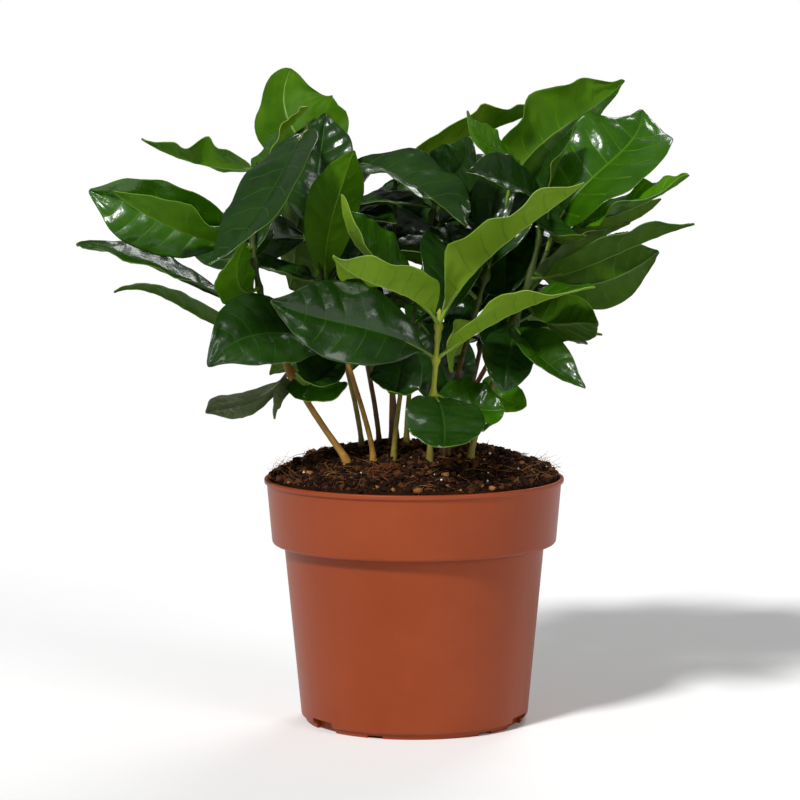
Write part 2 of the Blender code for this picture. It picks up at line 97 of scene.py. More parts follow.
def makeGrain():
    # a fine relief: small cells under a finer noise
    tree, given, result = newGroup(
        "grain",
        (("Cell Scale", "Float", 900.0), ("Noise Scale", "Float", 1500.0), ("Cell Share", "Float", 0.6),
         ("Strength", "Float", 0.3), ("Distance", "Float", 0.0002)),
        (("Normal", "Vector"),))
    place = addNode(tree, "ShaderNodeTexCoord").outputs["Object"]
    cells = addNode(tree, "ShaderNodeTexVoronoi", {"feature": "SMOOTH_F1"}, {
        "Vector": place, "Scale": given.outputs["Cell Scale"], "Smoothness": 0.6})
    fine = addNode(tree, "ShaderNodeTexNoise", None, {
        "Vector": place, "Scale": given.outputs["Noise Scale"], "Detail": 3.0})
    height = addNode(tree, "ShaderNodeMix", {"data_type": "FLOAT"}, {
        0: given.outputs["Cell Share"], 2: fine.outputs["Fac"], 3: cells.outputs["Distance"]})
    bump = addNode(tree, "ShaderNodeBump", None, {
        "Height": height.outputs[0], "Strength": given.outputs["Strength"],
        "Distance": given.outputs["Distance"]})
    feed(tree, result, {"Normal": bump.outputs["Normal"]})
    return tree


mottle = makeMottle()
grain = makeGrain()


def useGroup(tree, group, sockets):
    return addNode(tree, "ShaderNodeGroup", {"node_tree": group}, sockets)


def surface(name, look):
    # a Principled finish from the two shared effects, with light let through where asked
    made = bpy.data.materials.new(name)
    made.use_nodes = True
    tree = made.node_tree
    patches = useGroup(tree, mottle, {
        "Base": (*look["colour"], 1), "Patch": (*look["patch"], 1), "Scale": look["patchScale"]})
    relief = useGroup(tree, grain, {
        "Cell Scale": look["cellScale"], "Noise Scale": look["cellScale"] * 1.7,
        "Cell Share": look.get("cellShare", 0.6), "Strength": look["bump"],
        "Distance": look.get("depth", 0.0002)})
    smoothest, roughest = look["rough"]
    rough = addNode(tree, "ShaderNodeMapRange", None, {
        "Value": patches.outputs["Mask"], "To Min": smoothest, "To Max": roughest})
    shader = feed(tree, tree.nodes["Principled BSDF"], {
        "Base Color": patches.outputs["Color"], "Roughness": rough.outputs["Result"],
        "Normal": relief.outputs["Normal"], "Coat Weight": look.get("coat", 0.0),
        "Coat Roughness": look.get("coatRough", 0.1), "Specular IOR Level": look.get("specular", 0.5)})
    if "glow" in look:
        through = addNode(tree, "ShaderNodeBsdfTranslucent", None, {
            "Color": (*look["glow"], 1), "Normal": relief.outputs["Normal"]})
        both = addNode(tree, "ShaderNodeMixShader", None, {
            0: look["glowShare"], 1: shader.outputs["BSDF"], 2: through.outputs["BSDF"]})
        feed(tree, tree.nodes["Material Output"], {"Surface": both.outputs["Shader"]})
    return made


# small tools

def meshOf(name, bm):
    mesh = bpy.data.meshes.new(name)
    bm.to_mesh(mesh)
    bm.free()
    return mesh


def stood(name, data):
    made = bpy.data.objects.new(name, data)
    bpy.context.collection.objects.link(made)
    return made


# camera, floor and lights

view = {
    "lens": 135.7, "sensor": 36.0,
    "x": -5.2, "distance": 1200.0, "height": 246.0,
    "pitch": 0.0973, "roll": 0.0028,  # radians: looking down, and leaning
}
lamps = {  # soft discs far away: where each stands, its strength and its breadth in radians
    "key": {"from": (-0.55, -0.8, 0.9), "strength": 3.2, "breadth": 0.16},
    "fill": {"from": (0.8, -0.9, 0.45), "strength": 0.9, "breadth": 0.45},
    "rear": {"from": (0.3, 0.9, 0.8), "strength": 0.9, "breadth": 0.4},
}
room = {
    "floorSize": 12.0, "skyLight": 0.17, "skySheen": 0.15, "skySeen": 1.0,
    "paper": {"colour": (0.9, 0.9, 0.9), "patch": (0.92, 0.92, 0.92), "patchScale": 3.0,
              "cellScale": 300.0, "bump": 0.02, "rough": (0.8, 0.9)},
}


def setCamera():
    data = bpy.data.cameras.new("camera")
    data.lens = view["lens"]
    data.sensor_width = view["sensor"]
    camera = stood("camera", data)
    camera.location = Vector((view["x"], -view["distance"], view["height"])) * mm
    camera.rotation_euler = (math.pi / 2 - view["pitch"], view["roll"], 0)
    bpy.context.scene.camera = camera


def setLights():
    for name, lamp in lamps.items():
        data = bpy.data.lights.new(f"lamp_{name}", "SUN")
        data.energy = lamp["strength"]
        data.angle = lamp["breadth"]
        facing = (-Vector(lamp["from"])).to_track_quat("-Z", "Y")
        stood(f"lamp_{name}", data).rotation_euler = facing.to_euler()
    world = bpy.data.worlds.new("studio")
    world.use_nodes = True
    tree = world.node_tree
    ray = addNode(tree, "ShaderNodeLightPath")
    shown = feed(tree, tree.nodes["Background"], {"Color": (1, 1, 1, 1), "Strength": room["skyLight"]})
    for strength, kind in ((room["skySheen"], "Is Glossy Ray"), (room["skySeen"], "Is Camera Ray")):
        other = addNode(tree, "ShaderNodeBackground", None, {"Color": (1, 1, 1, 1), "Strength": strength})
        shown = addNode(tree, "ShaderNodeMixShader", None, {
            0: ray.outputs[kind], 1: shown.outputs[0], 2: other.outputs[0]})
    feed(tree, tree.nodes["World Output"], {"Surface": shown.outputs["Shader"]})
    bpy.context.scene.world = world
    bpy.context.scene.view_settings.view_transform = "Standard"


def layFloor():
    bm = bmesh.new()
    bmesh.ops.create_grid(bm, x_segments=1, y_segments=1, size=room["floorSize"] / 2)
    floor = stood("floor", meshOf("floor", bm))
    floor.data.materials.append(surface("floorPaper", room["paper"]))


setCamera()
setLights()
layFloor()
print("camera, lights and floor set")


# making and placing pieces

def finished(name, bm, finishes, slot, *nodes):
    # millimetres become metres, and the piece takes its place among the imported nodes
    bmesh.ops.scale(bm, vec=(mm, mm, mm), verts=bm.verts)
    mesh = meshOf(name, bm)
    mesh.shade_smooth()
    for finish in finishes:
        mesh.materials.append(finish)
    piece = stood(name, mesh)
    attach(piece, "root")
    if nodes:
        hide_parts(*nodes)
    return piece


def together(parts):
    # many small meshes made one
    whole = bmesh.new()
    for part in parts:
        mesh = meshOf("part", part)
        whole.from_mesh(mesh)
        bpy.data.meshes.remove(mesh)
    return whole


def smooth(low, high, value):
    share = min(1.0, max(0.0, (value - low) / (high - low)))
    return share * share * (3 - 2 * share)


def rollTube(frameAt, radiusAt, rings, sides):
    # a grid rolled round a line and closed at both ends
    bm = bmesh.new()
    bmesh.ops.create_grid(bm, x_segments=rings, y_segments=sides, size=0.5)
    for vert in bm.verts:
        share, turn = vert.co.x + 0.5, (vert.co.y + 0.5) * math.tau
        place, across, beside = frameAt(share)
        vert.co = place + (across * math.cos(turn) + beside * math.sin(turn)) * radiusAt(share, turn)
    bmesh.ops.remove_doubles(bm, verts=bm.verts, dist=0.001)
    bmesh.ops.holes_fill(bm, edges=bm.edges, sides=0)
    bmesh.ops.recalc_face_normals(bm, faces=bm.faces)
    return bm


def nodeTree(name):
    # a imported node's surface, in millimetres
    bm = bmesh.new()
    bm.from_mesh(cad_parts[name].data)
    bmesh.ops.scale(bm, vec=(1 / mm, 1 / mm, 1 / mm), verts=bm.verts)
    tree = BVHTree.FromBMesh(bm)
    bm.free()
    return tree


# the pot

pot = {
    "height": 98.0, "lipRadius": 60.0, "lipHeight": 2.0, "bandTop": 59.0, "bandFoot": 56.9,
    "bandFootZ": 71.8, "bodyTop": 52.2, "bodyFoot": 45.6, "bodyFootZ": 4.0, "wall": 1.2,
    "ringOuter": 43.6, "ringInner": 40.4, "recess": 1.8, "floorTop": 3.0, "pad": 7.0,
    "drains": (-54.0, 66.0, 186.0), "drainWidth": 13.0, "drainHeight": 4.4,
    "notches": tuple(-81.0 + 60.0 * step for step in range(6)), "notchWidth": 6.5, "notchHeight": 1.1,
    "sides": 144,
    "plastic": {"colour": (0.225, 0.036, 0.006), "patch": (0.26, 0.046, 0.01), "patchScale": 22.0,
                "cellScale": 1400.0, "bump": 0.05, "rough": (0.38, 0.46), "cellShare": 0.3,
                "specular": 0.22},
}


def roundOff(corners):
    # each corner is (r, z) or (r, z, radius): a radius becomes an arc of a few points
    arcSteps = 4
    line = []
    for index, corner in enumerate(corners):
        here = Vector(corner[:2])
        if len(corner) == 2:
            line.append(here)
            continue
        back = (Vector(corners[index - 1][:2]) - here).normalized()
        ahead = (Vector(corners[index + 1][:2]) - here).normalized()
        reach = corner[2] / math.tan(back.angle(ahead) / 2)
        for step in range(arcSteps + 1):
            share = step / arcSteps
            line.append(here + back * reach * (1 - share) ** 2 + ahead * reach * share ** 2)
    return line


def turned(line, sides):
    bm = bmesh.new()
    points = [bm.verts.new((r, 0, z)) for r, z in line]
    edges = [bm.edges.new(pair) for pair in zip(points, points[1:])]
    bmesh.ops.spin(bm, geom=points + edges, cent=(0, 0, 0), axis=(0, 0, 1),
                   angle=math.tau, steps=sides, use_merge=True)
    bmesh.ops.remove_doubles(bm, verts=bm.verts, dist=0.001)
    bmesh.ops.recalc_face_normals(bm, faces=bm.faces)
    return bm


def potLine():
    top, foot = pot["height"], pot["bandFootZ"]
    return roundOff([
        (0, 0), (pot["pad"], 0), (pot["pad"] + 0.6, pot["recess"]),
        (pot["ringInner"] - 0.6, pot["recess"]), (pot["ringInner"], 0, 0.3), (pot["ringOuter"], 0, 0.5),
        (pot["ringOuter"] + 0.4, 1.9, 0.3), (pot["bodyFoot"], 2.5, 1.1),
        (pot["bodyTop"], foot, 0.6), (pot["bandFoot"], foot, 1.6),
        (pot["bandTop"], top - pot["lipHeight"], 0.25),
        (pot["lipRadius"], top - pot["lipHeight"] + 0.2, 0.5),
        (pot["lipRadius"], top, 0.6), (pot["bandTop"] - 0.4, top, 0.3),
        (pot["bandTop"] - pot["wall"], top - 1.4, 0.4),
        (pot["bandFoot"] - pot["wall"], foot + 2.4),
        (pot["bandFoot"] - pot["wall"] - 0.6, foot + pot["wall"]),
        (pot["bodyTop"] - pot["wall"], foot + pot["wall"] - 0.4),
        (pot["bodyFoot"] - pot["wall"], pot["bodyFootZ"] + 0.4),
        (pot["ringOuter"] - 0.8, pot["floorTop"]), (0, pot["floorTop"]),
    ])


def cutBlock(bm, degrees, radius, size):
    turn = Matrix.Rotation(math.radians(degrees), 4, "Z")
    place = Matrix.Translation((0, -radius, size[2] / 2 - 1))
    bmesh.ops.create_cube(bm, size=1, matrix=turn @ place @ Matrix.Diagonal((*size, 1)))


def makePot():
    piece = finished("nursery_pot", turned(potLine(), pot["sides"]),
                     [surface("potPlastic", pot["plastic"])], "pot", "pot")
    cuts = bmesh.new()
    for degrees in pot["drains"]:
        cutBlock(cuts, degrees, pot["ringOuter"] + 1.5, (pot["drainWidth"], 7, pot["drainHeight"] + 1))
    for degrees in pot["notches"]:
        cutBlock(cuts, degrees, pot["ringOuter"] - 1, (pot["notchWidth"], 9, pot["notchHeight"] + 1))
    bmesh.ops.scale(cuts, vec=(mm, mm, mm), verts=cuts.verts)
    cutter = stood("cuts", meshOf("cuts", cuts))
    step = piece.modifiers.new("drains", "BOOLEAN")
    step.object, step.operation, step.solver = cutter, "DIFFERENCE", "EXACT"
    bpy.context.view_layer.update()
    cut = bpy.data.meshes.new_from_object(piece.evaluated_get(bpy.context.evaluated_depsgraph_get()))
    piece.modifiers.clear()
    piece.data = cut
    cut.set_sharp_from_angle(angle=math.radians(40))
    bpy.data.objects.remove(cutter)


makePot()
print("pot turned")


# the soil

soil = {
    "crown": 12.5, "spread": 59.0, "shoulder": 3.0, "sides": 150, "rings": 46,
    "lump": 1.5,  # height of the mound's unevenness
    "slack": 0.8,  # how far the slopes lie under the plain mound
    # heaps on the mound: x, y, height and spread
    "heaps": ((52, -6, 2.6, 6.0), (44, -14, 1.4, 7.0), (-12, -44, 2.2, 5.0), (-52, -10, 1.0, 5.0)),
    "crumbs": 7600, "crumbSizes": (0.4, 2.2), "crumbShares": (0.68, 0.28, 0.04),
    "specks": 70, "speckSizes": (0.25, 0.75),
    # strands: how many, how high their middles lie, how long and thick they are, how they rise
    "fibres": {"count": 900, "lift": (0.1, 1.6), "length": (2.5, 10), "radius": (0.08, 0.2),
               "lean": (-0.3, 0.5)},
    "hairs": {"count": 110, "lift": (0.8, 3.6), "length": (4, 11), "radius": 0.07,
              "lean": (0.1, 0.9), "fan": 0.5, "inset": (1.5, 7)},
    "tuft": {"count": 110, "lift": (0.1, 2.2), "length": (2, 7), "radius": (0.12, 0.3),
             "lean": (-0.4, 0.6), "x": -12, "y": -44, "spread": 2.75},
    "grit": {"patchScale": 300.0, "cellScale": 2000.0, "bump": 0.7, "depth": 0.0004,
             "rough": (0.8, 0.95), "specular": 0.12},
    "fibre": {"patchScale": 300.0, "cellScale": 2200.0, "bump": 0.4, "rough": (0.6, 0.85), "specular": 0.2},
    "peat": {"colour": (0.006, 0.002, 0.001), "patch": (0.028, 0.009, 0.003), "patchScale": 260.0,
             "cellScale": 1600.0, "bump": 0.8, "depth": 0.0006, "rough": (0.85, 1.0), "specular": 0.08},
    "dark": {"colour": (0.008, 0.003, 0.001), "patch": (0.026, 0.009, 0.004), "bump": 0.8},
    "brown": {"colour": (0.045, 0.015, 0.004), "patch": (0.1, 0.036, 0.01)},
    "coir": {"colour": (0.17, 0.06, 0.014), "patch": (0.32, 0.15, 0.05)},
    "red": {"colour": (0.1, 0.025, 0.007), "patch": (0.19, 0.06, 0.02)},
    "perlite": {"colour": (0.62, 0.58, 0.5), "patch": (0.8, 0.78, 0.72), "patchScale": 400.0,
                "cellScale": 2200.0, "bump": 0.6, "rough": (0.7, 0.9)},
}


def soilHeight(r):
    return pot["height"] + soil["crown"] * (1 - (r / soil["spread"]) ** soil["shoulder"])


def lumpAt(x, y):
    coarse = noise.noise(Vector((x * 0.09, y * 0.09, 3.0)))
    fine = noise.noise(Vector((x * 0.35, y * 0.35, 8.0)))
    lump = soil["lump"] * (coarse + 0.6 * fine) - soil["slack"]
    for heapX, heapY, height, reach in soil["heaps"]:
        lump += height * math.exp(-((x - heapX) ** 2 + (y - heapY) ** 2) / reach ** 2)
    return lump


def soilTop(x, y):
    r = math.hypot(x, y)
    return soilHeight(r) + lumpAt(x, y) * smooth(0, 3, soil["spread"] - 0.8 - r)


def makeMound():
    edge = pot["bandTop"] - pot["wall"] - 0.6
    line = [Vector((0, pot["floorTop"] + 0.4)), Vector((pot["bodyFoot"] - 4, pot["floorTop"] + 0.4)),
            Vector((pot["bodyTop"] - 2, pot["bandFootZ"])), Vector((edge - 2, pot["height"] - 12)),
            Vector((edge, pot["height"] - 2))]
    line += [Vector((edge * (1 - step / soil["rings"]), pot["height"]))
             for step in range(soil["rings"] + 1)]
    bm = turned(line, soil["sides"])
    for vert in bm.verts:
        x, y, z = vert.co
        if z > pot["height"] - 1:
            vert.co.z = soilTop(x, y)
    return finished("soil_mound", bm, [surface("peat", soil["peat"])], "soil", "soil")


def inBatches(count, makeOne, batch=80):
    parts = []
    for start in range(0, count, batch):
        bm = bmesh.new()
        for _ in range(min(batch, count - start)):
            makeOne(bm)
        parts.append(bm)
    return together(parts)


def spotOnSoil(rng, reach):
    r, turn = reach * math.sqrt(rng.random()), rng.uniform(0, math.tau)
    return r * math.cos(turn), r * math.sin(turn)


def scatterCrumbs():
    rng = random.Random(5)
    kinds = [surface("peatCrumb", {**soil["grit"], **soil["dark"]}),
             surface("brownCrumb", {**soil["grit"], **soil["brown"]}),
             surface("coirCrumb", {**soil["fibre"], **soil["coir"]})]

    def crumb(bm):
        x, y = spotOnSoil(rng, soil["spread"] - 1.9)
        small, large = soil["crumbSizes"]
        size = small + (large - small) * rng.random() ** 3
        stretch = Matrix.Diagonal((1, rng.uniform(0.5, 1), rng.uniform(0.45, 0.9), 1))
        turn = Matrix.Rotation(rng.uniform(0, math.tau), 4, "Z")
        turn = turn @ Matrix.Rotation(rng.uniform(-1, 1), 4, "X")
        place = Matrix.Translation((x, y, soilTop(x, y) + size * 0.25))
        made = bmesh.ops.create_icosphere(bm, subdivisions=1, radius=size, matrix=place @ turn @ stretch)
        kind = rng.choices((0, 1, 2), soil["crumbShares"])[0]
        for vert in made["verts"]:
            vert.co += Vector([rng.uniform(-0.22, 0.22) * size for _ in range(3)])
            for face in vert.link_faces:
                face.material_index = kind

    bm = inBatches(soil["crumbs"], crumb)
    finished("soil_crumbs", bm, kinds, "soil")


def strand(rng, x, y, kind):
    # a thin curved fibre on the soil, bent at random
    place = Vector((x, y, soilTop(x, y) + rng.uniform(*kind["lift"])))
    length, radius = rng.uniform(*kind["length"]), kind["radius"]
    if isinstance(radius, tuple):
        radius = rng.uniform(*radius)
    turn = rng.uniform(0, math.tau)
    along = Vector((math.cos(turn), math.sin(turn), rng.uniform(*kind["lean"])))
    bend = Vector([rng.uniform(-0.5, 0.5) for _ in range(3)])

    def frameAt(share):
        shift = share - 0.5
        spot = place + (along * shift + bend * (shift * shift - 0.25)) * length
        ahead = (along + bend * 2 * shift).normalized()
        across = ahead.orthogonal().normalized()
        return spot, across, ahead.cross(across)

    return rollTube(frameAt, lambda share, _: radius * (1 - abs(share - 0.5) * 1.2), 5, 3)


def scatterFibres():
    rng = random.Random(6)
    fibres, hairs, tuft = soil["fibres"], soil["hairs"], soil["tuft"]
    parts = [strand(rng, *spotOnSoil(rng, soil["spread"] - 3), fibres) for _ in range(fibres["count"])]
    for _ in range(hairs["count"]):
        turn = rng.choice((math.pi, 0)) + rng.gauss(0, hairs["fan"])
        r = soil["spread"] - rng.uniform(*hairs["inset"])
        parts.append(strand(rng, r * math.cos(turn), r * math.sin(turn), hairs))
    coir = surface("coirFibre", {**soil["fibre"], **soil["coir"]})
    finished("soil_fibres", together(parts), [coir], "soil")
    parts = [strand(rng, rng.gauss(tuft["x"], tuft["spread"]), rng.gauss(tuft["y"], tuft["spread"]), tuft)
             for _ in range(tuft["count"])]
    redCoir = surface("coirRed", {**soil["fibre"], **soil["red"]})
    finished("coir_tuft", together(parts), [redCoir], "soil")


def scatterPerlite():
    rng = random.Random(7)

    def speck(bm):
        x, y = spotOnSoil(rng, soil["spread"] - 4)
        size = rng.uniform(*soil["speckSizes"])
        place = Matrix.Translation((x, y, soilTop(x, y) + size * 0.9))
        made = bmesh.ops.create_icosphere(bm, subdivisions=1, radius=size, matrix=place)
        for vert in made["verts"]:
            vert.co += Vector([rng.uniform(-0.3, 0.3) * size for _ in range(3)])

    bm = inBatches(soil["specks"], speck)
    finished("perlite_specks", bm, [surface("perlite", soil["perlite"])], "soil")


makeMound()
scatterCrumbs()
scatterFibres()
scatterPerlite()
print("soil heaped")


# the seedlings' stems

stem = {
    "radius": 1.2, "tipRadius": 0.9, "flare": 1.35, "flareHeight": 6.0, "solidSides": 6, "gap": 0.3,
    "firstHandle": 0.35,  # how far a stem rises straight up before it leans, as a share of its knee
    "sides": 12, "ringStep": 1.1, "knuckle": 0.5, "knuckleReach": 1.6, "ridge": 0.06,
    "thickness": {"01": 1.15, "11": 1.1, "08": 1.0},  # of the finished stem, over the plain one
    "usualThickness": 0.88,
    "bark": {"cellScale": 1500.0, "specular": 0.25},
    "tan": {"colour": (0.22, 0.105, 0.014), "patch": (0.36, 0.2, 0.035), "patchScale": 240.0,
            "bump": 0.6, "rough": (0.5, 0.7)},
    "olive": {"colour": (0.11, 0.095, 0.009), "patch": (0.22, 0.17, 0.018), "patchScale": 200.0,
              "bump": 0.5, "rough": (0.45, 0.65)},
    "brown": {"colour": (0.07, 0.032, 0.008), "patch": (0.16, 0.075, 0.018), "patchScale": 240.0,
              "bump": 0.6, "rough": (0.5, 0.7)},
    # the upper stems' green bark, darkened where it lies inside the crown: real green with painted shade
    "green": {"colour": (0.022, 0.04, 0.004), "patch": (0.045, 0.065, 0.007), "patchScale": 160.0,
              "bump": 0.3, "rough": (0.45, 0.6)},
    "fresh": {"colour": (0.24, 0.27, 0.012), "patch": (0.33, 0.35, 0.03), "patchScale": 160.0,
              "bump": 0.3, "rough": (0.4, 0.55), "specular": 0.3},
    # each stem's bark from the soil up, with the heights where the next begins
    "barks": {"01": ("tan", 150, "green"), "03": ("tan", 150, "green"), "06": ("olive", 150, "green"),
              "07": ("olive", 145, "green"), "08": ("olive", 122, "fresh"), "11": ("olive", 150, "green"),
              "02": ("olive", 145, "green")},
    "usualBarks": ("brown", 150, "green"),
}

# each seedling: foot (x, y), then the knee and the top of its curve, and the height where
# its leaves begin
seedlings = {
    "01": {"foot": (-26, -30), "knee": (-80, -36, 124), "top": (-62, -2, 224), "leafy": 134},
    "02": {"foot": (-21, 0), "knee": (-43, 6, 165), "top": (-42, 2, 240), "leafy": 150},
    "03": {"foot": (-16, -30), "knee": (-33, -28, 150), "top": (-41, -9, 204), "leafy": 138},
    "04": {"foot": (-14, 8), "knee": (-28, 14, 160), "top": (-31, 12, 230), "leafy": 150},
    "05": {"foot": (-9, 5), "knee": (-8, 8, 160), "top": (-7, 8, 226), "leafy": 150},
    "06": {"foot": (-8, -30), "knee": (-5, -28, 145), "top": (5, -20, 188), "leafy": 142},
    "07": {"foot": (-3, 5), "knee": (-1, 12, 160), "top": (10, 14, 214), "leafy": 150},
    "08": {"foot": (6, -32), "knee": (8, -36, 140), "top": (10, -37, 168), "leafy": 126},
    "09": {"foot": (11, -24), "knee": (26, -10, 165), "top": (43, 8, 226), "leafy": 150},
    "10": {"foot": (13, -20), "knee": (42, 0, 150), "top": (61, 8, 206), "leafy": 145},
    "11": {"foot": (22, -28), "knee": (44, -24, 148), "top": (54, -4, 214), "leafy": 124},
    "12": {"foot": (20, 12), "knee": (34, 26, 160), "top": (40, 38, 206), "leafy": 145},
    "13": {"foot": (-7, 28), "knee": (-12, 42, 160), "top": (-20, 54, 208), "leafy": 145},
    "14": {"foot": (8, 24), "knee": (14, 40, 160), "top": (21, 59, 202), "leafy": 145},
}


def bend3(a, b, c, d, t):
    near, far = 1 - t, t
    return a * near ** 3 + b * (3 * far * near ** 2) + c * (3 * far ** 2 * near) + d * far ** 3


def shareAtHeight(curve, height):
    low, high = 0.0, 1.0
    for _ in range(40):
        middle = (low + high) / 2
        if bend3(*curve, middle).z < height:
            low = middle
        else:
            high = middle
    return low


def seedlingCurve(name):
    row = seedlings[name]
    x, y = row["foot"]
    foot = Vector((x, y, soilHeight(math.hypot(x, y))))
    knee, top = Vector(row["knee"]), Vector(row["top"])
    return foot, foot + Vector((0, 0, (knee.z - foot.z) * stem["firstHandle"])), knee.lerp(top, 1 / 3), top


def heading(curve, share):
    a, b, c, d = curve
    near, far = 1 - share, share
    return ((b - a) * near ** 2 + (c - b) * (2 * near * far) + (d - c) * far ** 2).normalized()


def crossFrame(along):
    across = (Vector((1, 0, 0)) - along * along.x).normalized()
    return across, along.cross(across)


def stemRadius(share):
    return stem["radius"] + (stem["tipRadius"] - stem["radius"]) * share


def solidLimb(points, radii, headings):
    # the plain limb that the frame has, for keeping leaves clear of it
    bm = bmesh.new()
    last = len(points) - 1
    rings = []
    for index, (place, radius, along) in enumerate(zip(points, radii, headings)):
        across, beside = crossFrame(along)
        turn = Matrix((across, beside, along)).transposed().to_4x4()
        made = bmesh.ops.create_circle(bm, cap_ends=index in (0, last), segments=stem["solidSides"],
                                       radius=radius, matrix=Matrix.Translation(place) @ turn)
        rings.append(made["verts"])
    for lower, upper in zip(rings, rings[1:]):
        loops = {edge for ring in (lower, upper) for vert in ring for edge in vert.link_edges}
        loops = [edge for edge in loops if len(edge.link_faces) < 2
                 and (all(v in lower for v in edge.verts) or all(v in upper for v in edge.verts))]
        bmesh.ops.bridge_loops(bm, edges=loops)
    bmesh.ops.recalc_face_normals(bm, faces=bm.faces)
    return BVHTree.FromBMesh(bm)


def axisTree(name):
    curve = seedlingCurve(name)
    start = shareAtHeight(curve, seedlings[name]["leafy"])
    shares = [start + (1 - start) * step / 5 for step in range(6)]
    headings = [heading(curve, share) for share in shares]
    points = [bend3(*curve, share) for share in shares]
    points[0] = points[0] + headings[0] * stem["gap"]
    return solidLimb(points, [stemRadius(share) for share in shares], headings)


def stemFinishes():
    return {kind: surface(f"bark{kind.capitalize()}", {**stem["bark"], **stem[kind]})
            for kind in ("tan", "olive", "brown", "green", "fresh")}


def makeShoot(name, joints, finishes):
    # one stem from the soil to its bud, swollen where each leaf joins
    curve = seedlingCurve(name)
    length = sum((after - before).length for before, after in zip(curve, curve[1:]))
    foot = curve[0].z
    drop = Vector((0, 0, 2.0))
    rings = int(length / stem["ringStep"])
    thickness = stem["thickness"].get(name, stem["usualThickness"])
    phase = random.Random(name).uniform(0, 9)

    def frameAt(share):
        along = heading(curve, share)
        return (bend3(*curve, share) - drop * (1 - smooth(0, 0.04, share)), *crossFrame(along))

    def radiusAt(share, turn):
        height = bend3(*curve, share).z
        flare = 1 + (stem["flare"] - 1) * (1 - smooth(foot, foot + stem["flareHeight"], height))
        radius = thickness * stemRadius(share) * flare
        for joint in joints:
            radius += stem["knuckle"] * math.exp(-((height - joint) / stem["knuckleReach"]) ** 2)
        ridges = noise.noise(Vector((math.cos(turn) * 1.6, math.sin(turn) * 1.6 + phase, height * 0.12)))
        rough = noise.noise(Vector((math.cos(turn) * 3 + phase, math.sin(turn) * 3, height * 0.7)))
        radius *= 1 + stem["ridge"] * (ridges * 1.6 + rough)
        return radius * (1 - smooth(0.985, 1.0, share) * 0.85)

    bm = rollTube(frameAt, radiusAt, rings, stem["sides"])
    lower, change, upper = stem["barks"].get(name, stem["usualBarks"])
    for face in bm.faces:
        middle = face.calc_center_median()
        face.material_index = int(middle.z + 9 * noise.noise(middle * 0.3) > change)
    finished(f"shoot_{name}", bm, [finishes[lower], finishes[upper]], "stem", f"seedling_{name}_stem")


# the leaves

leafShape = {
    "stalkShare": 0.11, "stalkWidth": 1.7, "tipWidth": 0.6, "widestSkew": 0.92, "power": 0.72,
    "seedBreadth": 0.6, "seedPower": 0.5, "bowReach": 1.33,
    # the frame's plain blade, and where along it a leaf is clear of its own axis
    "solidThickness": 1.0, "setSteps": 6, "grownSteps": 5, "testMargin": 0.7, "clearFrom": 0.3,
}
leafRelief = {
    "thickness": 0.32, "veins": 7, "veinHalf": 0.03, "veinReach": 0.72,
    "forward": 0.13,  # how far the side veins sweep towards the tip
    "between": (0.27, 0.5, 0.73),  # rows between two veins
    "columns": (0.025, 0.075, 0.15, 0.25, 0.37, 0.5, 0.63, 0.75, 0.86, 0.95, 1.0),
    "quilt": 0.028, "seedQuilt": 0.35, "pucker": 0.026,  # of the leaf's width
    "puckers": (15.0, 4.2), "waves": (3.0, 4.4), "waveSpread": (0.75, 1.25),
    "groove": 0.3, "grooveReach": 0.07, "rib": 0.75, "ribReach": 0.05, "veinRib": 0.2,
    "arch": 0.35, "tipPinch": 0.32,
}
tones = {  # wave: of the margin, over the width; scallop: of the outline, over the half width
    "dark": {"wave": 0.05, "scallop": 0.03, "rough": (0.18, 0.28), "coat": 0.3,
             "top": (0.009, 0.036, 0.003), "topPatch": (0.018, 0.066, 0.004), "vein": (0.026, 0.09, 0.006),
             "under": (0.055, 0.12, 0.005), "underPatch": (0.08, 0.16, 0.007),
             "underVein": (0.13, 0.22, 0.02), "underLine": (0.035, 0.08, 0.004), "glow": (0.05, 0.22, 0.0)},
    # shade: a darker, duller copy of the mid leaf finishes for leaves lying in shadow: painted shade
    "shade": {"wave": 0.05, "scallop": 0.03, "rough": (0.2, 0.3), "coat": 0.25,
              "top": (0.016, 0.06, 0.001), "topPatch": (0.026, 0.088, 0.001), "vein": (0.05, 0.13, 0.004),
              "under": (0.026, 0.075, 0.001), "underPatch": (0.05, 0.12, 0.002),
              "underVein": (0.12, 0.21, 0.02), "underLine": (0.075, 0.15, 0.01), "glow": (0.07, 0.25, 0)},
    "dry": {"wave": 0.05, "scallop": 0.03, "rough": (0.5, 0.65), "coat": 0.0,
            "top": (0.045, 0.06, 0.022), "topPatch": (0.085, 0.11, 0.04), "vein": (0.028, 0.038, 0.012),
            "under": (0.09, 0.12, 0.045), "underPatch": (0.12, 0.15, 0.06),
            "underVein": (0.14, 0.19, 0.05), "underLine": (0.05, 0.07, 0.02), "glow": (0.05, 0.12, 0.01)},
    "mid": {"wave": 0.08, "scallop": 0.04, "rough": (0.17, 0.28), "coat": 0.3,
            "top": (0.024, 0.092, 0.001), "topPatch": (0.042, 0.14, 0.001), "vein": (0.09, 0.21, 0.006),
            "under": (0.15, 0.265, 0.012), "underPatch": (0.2, 0.33, 0.018),
            "underVein": (0.32, 0.46, 0.07), "underLine": (0.085, 0.17, 0.01), "glow": (0.18, 0.48, 0.0)},
    "young": {"wave": 0.1, "scallop": 0.09, "rough": (0.17, 0.28), "coat": 0.25,
              "top": (0.06, 0.21, 0.001), "topPatch": (0.105, 0.3, 0.001), "vein": (0.17, 0.38, 0.008),
              "under": (0.04, 0.12, 0.001), "underPatch": (0.085, 0.2, 0.002),
              "underVein": (0.17, 0.32, 0.012), "underLine": (0.1, 0.23, 0.004), "glow": (0.2, 0.52, 0)},
}
leafGlow = 0.28
# underVein: the veins beneath and the stalk in their own colour, and the leaf's rim, where its light colour
# is a painted highlight
leafParts = ("top", "vein", "under", "underVein", "underLine")  # a leaf's finishes, in slot order
